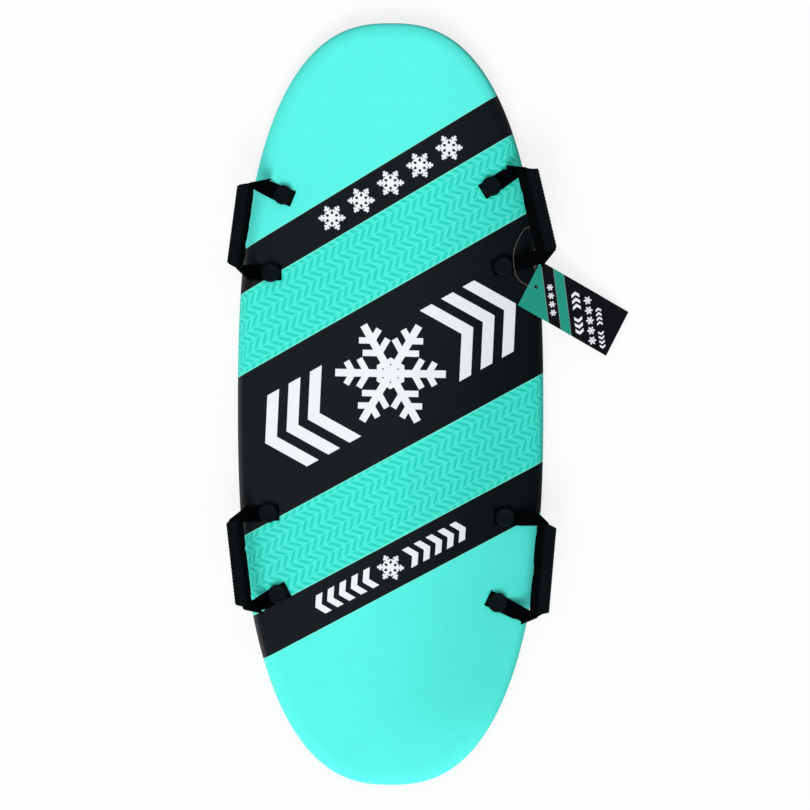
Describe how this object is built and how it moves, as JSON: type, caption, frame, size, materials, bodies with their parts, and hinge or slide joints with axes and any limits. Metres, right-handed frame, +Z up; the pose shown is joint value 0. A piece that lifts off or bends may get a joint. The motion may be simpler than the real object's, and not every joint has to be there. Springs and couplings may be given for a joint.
{
  "type": "snow surfer",
  "caption": "Flat oval foam sledging board with a slick base, padded strap handles riveted along both edges, and a hang tag on a thin loop.",
  "frame": {"origin": "middle of the flat running base, on the ground", "axes": "+X to the board's right, +Y to its front tip, +Z up through the deck"},
  "size_m": [0.4952, 0.94, 0.0862],
  "materials": {
    "deck_foam": "printed closed-cell foam sheet",
    "core_foam": "expanded bead foam",
    "slick": "smooth polyethylene sheet",
    "rivet": "moulded black plastic",
    "webbing": "woven black strap",
    "grip_foam": "soft dark foam",
    "grip_cloth": "plain black cloth with an edge seam",
    "tag_card": "printed coated card",
    "loop_nylon": "thin clear nylon"
  },
  "bodies": {
    "board": {"deck_skin": "deck_foam", "foam_core": "core_foam", "bottom_slick": "slick", "rivet_cap_front_left_outer": "rivet", "rivet_cap_front_left_inner": "rivet", "rivet_cap_front_right_outer": "rivet", "rivet_cap_front_right_inner": "rivet", "rivet_cap_rear_left_outer": "rivet", "rivet_cap_rear_left_inner": "rivet", "rivet_cap_rear_right_outer": "rivet", "rivet_cap_rear_right_inner": "rivet", "rivet_plug_front_left_outer": "rivet", "rivet_plug_front_left_inner": "rivet", "rivet_plug_front_right_outer": "rivet", "rivet_plug_front_right_inner": "rivet", "rivet_plug_rear_left_outer": "rivet", "rivet_plug_rear_left_inner": "rivet", "rivet_plug_rear_right_outer": "rivet", "rivet_plug_rear_right_inner": "rivet", "strap_tab_front_left_outer": "webbing", "strap_tab_front_left_inner": "webbing", "strap_tab_front_right_outer": "webbing", "strap_tab_front_right_inner": "webbing", "strap_tab_rear_left_outer": "webbing", "strap_tab_rear_left_inner": "webbing", "strap_tab_rear_right_outer": "webbing", "strap_tab_rear_right_inner": "webbing", "tag_loop": "loop_nylon", "tag_loop_lock": "loop_nylon"},
    "handle_front_left": {"webbing_front_left": "webbing", "grip_pad_front_left": "grip_foam", "grip_cover_front_left": "grip_cloth"},
    "handle_front_right": {"webbing_front_right": "webbing", "grip_pad_front_right": "grip_foam", "grip_cover_front_right": "grip_cloth"},
    "handle_rear_left": {"webbing_rear_left": "webbing", "grip_pad_rear_left": "grip_foam", "grip_cover_rear_left": "grip_cloth"},
    "handle_rear_right": {"webbing_rear_right": "webbing", "grip_pad_rear_right": "grip_foam", "grip_cover_rear_right": "grip_cloth"},
    "tag": {"hang_tag": "tag_card"}
  },
  "joints": [
    {"name": "front_left_fold", "type": "hinge", "parent": "board", "child": "handle_front_left", "pos_m": [-0.15577, 0.21199, 0.0392], "axis": [0.1584, 0.9874, 0], "range_deg": [-20, 70]},
    {"name": "front_right_fold", "type": "hinge", "parent": "board", "child": "handle_front_right", "pos_m": [0.14717, 0.221, 0.0392], "axis": [0.1427, -0.9898, 0], "range_deg": [0, 90]},
    {"name": "rear_left_fold", "type": "hinge", "parent": "board", "child": "handle_rear_left", "pos_m": [-0.16041, -0.18592, 0.0392], "axis": [-0.1224, 0.9925, 0], "range_deg": [-20, 70]},
    {"name": "rear_right_fold", "type": "hinge", "parent": "board", "child": "handle_rear_right", "pos_m": [0.15225, -0.193, 0.0392], "axis": [-0.087, -0.9962, 0], "range_deg": [0, 90]},
    {"name": "tag_turn", "type": "hinge", "parent": "board", "child": "tag", "pos_m": [0.17918, 0.14392, 0.03362], "axis": [0.2631, 0, 0.9648], "range_deg": [-45, 0]}
  ]
}
